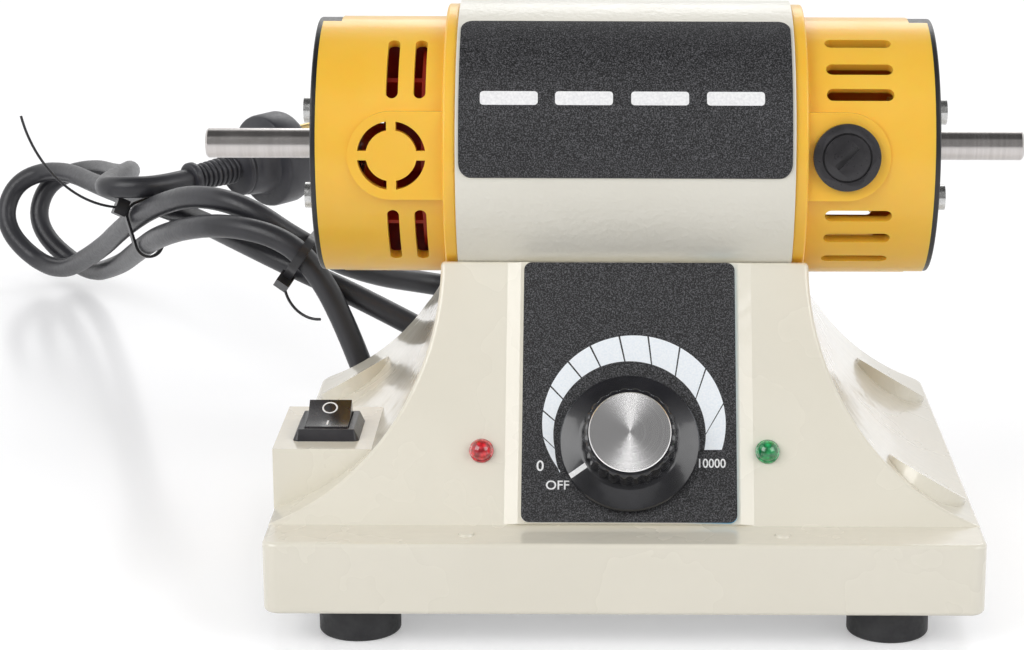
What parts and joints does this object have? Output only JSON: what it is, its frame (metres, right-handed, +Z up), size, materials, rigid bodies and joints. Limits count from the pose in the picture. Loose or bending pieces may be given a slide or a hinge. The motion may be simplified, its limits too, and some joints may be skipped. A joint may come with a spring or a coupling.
{
  "type": "bench buffer",
  "caption": "Two-ended bench buffer: motor with free shaft ends on a cast base, with a speed knob, rocker switch, indicator lamps and mains lead.",
  "frame": {"origin": "on the bench, under the middle of the base", "axes": "+X along the motor shaft to the right as the operator sees it, -Y towards the operator, +Z up"},
  "size_m": [0.4368, 0.5109, 0.1898],
  "materials": {
    "cream_paint": "fine orange-peel gloss paint",
    "cream_gloss": "smooth gloss paint",
    "yellow_paint": "satin gloss moulding",
    "black_plate": "satin black paint",
    "charcoal_plate": "fine speckled print",
    "steel_shaft": "turned steel",
    "bearing_steel": "ground steel",
    "zinc_screw": "bright zinc plate",
    "black_knob": "gloss moulding",
    "spun_aluminium": "spun disc",
    "white_mark": "plain white",
    "black_plastic": "satin moulding",
    "black_rubber": "soft rubber",
    "cord_rubber": "smooth cord sheath",
    "red_lens": "clear tinted lens",
    "green_lens": "clear tinted lens",
    "brass": "drawn brass",
    "red_fan": "satin moulding",
    "core_steel": "stacked sheet",
    "copper_wire": "varnished copper",
    "magnet_ferrite": "pressed ferrite",
    "carbon": "pressed carbon",
    "board_green": "board lacquer",
    "zinc_plate": "plated sheet"
  },
  "bodies": {
    "base": {"base_housing": "cream_paint", "bottom_plate": "zinc_plate", "bottom_plate_screws": "zinc_screw", "rubber_feet": "black_rubber", "foot_screws": "zinc_screw", "motor_frame": "cream_gloss", "name_plate": "charcoal_plate", "motor_mount_screws": "zinc_screw", "lead_grommet": "black_rubber", "end_cap_left": "yellow_paint", "end_cap_right": "yellow_paint", "end_plate_left": "black_plate", "end_plate_right": "black_plate", "end_plate_screws": "zinc_screw", "bearing_outer_rings": "bearing_steel", "magnets": "magnet_ferrite", "brush_holders": "brass", "carbon_brushes": "carbon", "brush_springs": "bearing_steel", "brush_caps": "black_plastic", "control_plate": "charcoal_plate", "potentiometer": "zinc_plate", "pot_nut": "zinc_screw", "lamp_red": "red_lens", "lamp_green": "green_lens", "switch_body": "black_plastic", "switch_terminals": "brass", "board_standoffs": "brass", "control_board": "board_green", "board_components": "black_plastic", "board_screws": "zinc_screw", "cord_strain_relief": "black_rubber", "power_cord": "cord_rubber", "cord_hank": "cord_rubber", "plug_body": "black_rubber", "plug_pins": "brass", "cable_ties": "black_plastic"},
    "rotor": {"motor_shaft": "steel_shaft", "bearing_inner_rings": "bearing_steel", "bearing_balls": "bearing_steel", "armature_core": "core_steel", "armature_windings": "copper_wire", "commutator": "copper_wire", "cooling_fan": "red_fan"},
    "speed_knob": {"pot_shaft": "bearing_steel", "knob": "black_knob", "knob_cap": "spun_aluminium", "knob_pointer": "white_mark"},
    "rocker": {"switch_rocker": "black_knob"}
  },
  "joints": [
    {"name": "rotor_spin", "type": "hinge", "parent": "base", "child": "rotor", "pos_m": [0, 0.0075, 0.1416], "axis": [1, 0, 0], "continuous": true},
    {"name": "knob_turn", "type": "hinge", "parent": "base", "child": "speed_knob", "pos_m": [0.0016, -0.06509, 0.05823], "axis": [0, -0.8462, 0.5329], "range_deg": [-220, 0]},
    {"name": "rocker_tilt", "type": "hinge", "parent": "base", "child": "rocker", "pos_m": [-0.0966, -0.0394, 0.0568], "axis": [1, 0, 0], "range_deg": [-30, 0]}
  ]
}
